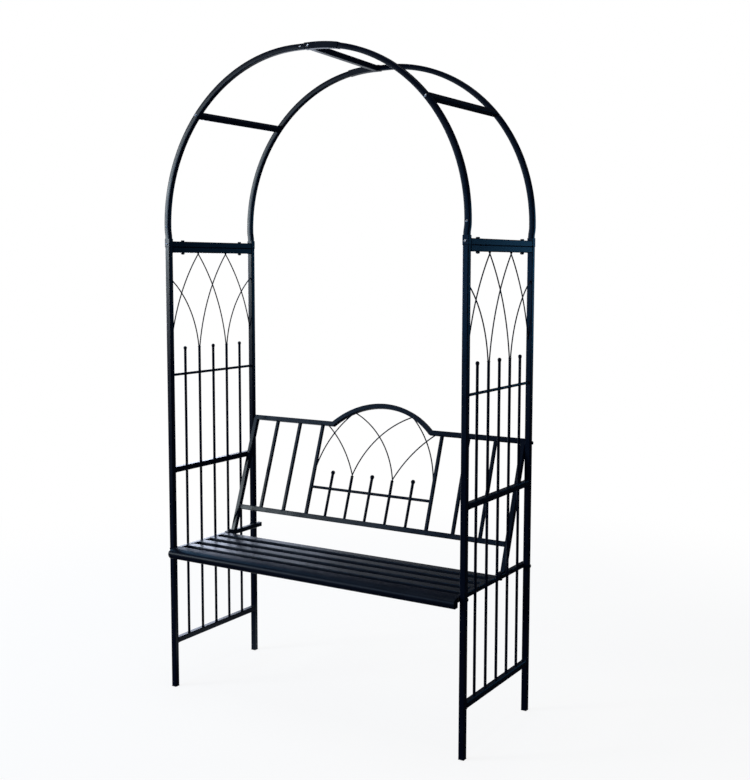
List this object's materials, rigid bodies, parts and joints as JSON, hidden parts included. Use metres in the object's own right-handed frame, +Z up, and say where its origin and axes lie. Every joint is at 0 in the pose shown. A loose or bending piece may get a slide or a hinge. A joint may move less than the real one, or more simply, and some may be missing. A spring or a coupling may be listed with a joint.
{
  "type": "garden arbor bench",
  "caption": "Free-standing steel garden arch: two lattice side panels carry paired round hoops, with a slatted bench seat, rolled front edge and tilted arched backrest between them.",
  "frame": {"origin": "on the floor, at the middle of the four feet and of the object's plan", "axes": "+Z up, +X to the sitter's left (the viewer's right from the front), +Y to the rear, from the seat's rolled front edge to the backrest"},
  "size_m": [1.091, 0.4995, 2.0225],
  "materials": {
    "panel_paint": "semi-gloss powder coat, near-black navy",
    "arch_paint": "semi-gloss powder coat, near-black navy",
    "seat_paint": "semi-gloss powder coat, near-black navy",
    "backrest_paint": "semi-gloss powder coat, near-black navy",
    "wire_paint": "semi-gloss powder coat, near-black navy",
    "zinc": "bright zinc plate",
    "black_plastic": "matte"
  },
  "bodies": {
    "root": {"backrest_bolts": "zinc", "backrest_cross_rod": "backrest_paint", "backrest_foot_plates": "backrest_paint", "backrest_lower_rail": "backrest_paint", "backrest_top_rail": "backrest_paint", "backrest_tracery": "wire_paint", "backrest_uprights": "backrest_paint", "crown_rung": "arch_paint", "foot_bolts": "zinc", "foot_plugs": "black_plastic", "front_sleeve": "arch_paint", "hex_nuts": "zinc", "inner_plugs": "black_plastic", "left_backrest_slats": "backrest_paint", "left_bottom_rail": "panel_paint", "left_cross_rod": "panel_paint", "left_front_hoop": "arch_paint", "left_front_leg": "panel_paint", "left_front_socket": "arch_paint", "left_middle_rail": "panel_paint", "left_rear_hoop": "arch_paint", "left_rear_leg": "panel_paint", "left_rear_socket": "arch_paint", "left_rung": "arch_paint", "left_seat_rail": "seat_paint", "left_stile": "backrest_paint", "left_tie": "arch_paint", "left_top_rail": "panel_paint", "left_tracery": "wire_paint", "left_uprights": "panel_paint", "rail_caps": "black_plastic", "rear_sleeve": "arch_paint", "right_backrest_slats": "backrest_paint", "right_bottom_rail": "panel_paint", "right_cross_rod": "panel_paint", "right_front_hoop": "arch_paint", "right_front_leg": "panel_paint", "right_front_socket": "arch_paint", "right_middle_rail": "panel_paint", "right_rear_hoop": "arch_paint", "right_rear_leg": "panel_paint", "right_rear_socket": "arch_paint", "right_rung": "arch_paint", "right_seat_rail": "seat_paint", "right_stile": "backrest_paint", "right_tie": "arch_paint", "right_top_rail": "panel_paint", "right_tracery": "wire_paint", "right_uprights": "panel_paint", "seat_bearer": "seat_paint", "seat_bolts": "zinc", "seat_front_edge": "seat_paint", "seat_slat_1": "seat_paint", "seat_slat_2": "seat_paint", "seat_slat_3": "seat_paint", "seat_slat_4": "seat_paint", "tie_bolts": "zinc"}
  },
  "joints": []
}
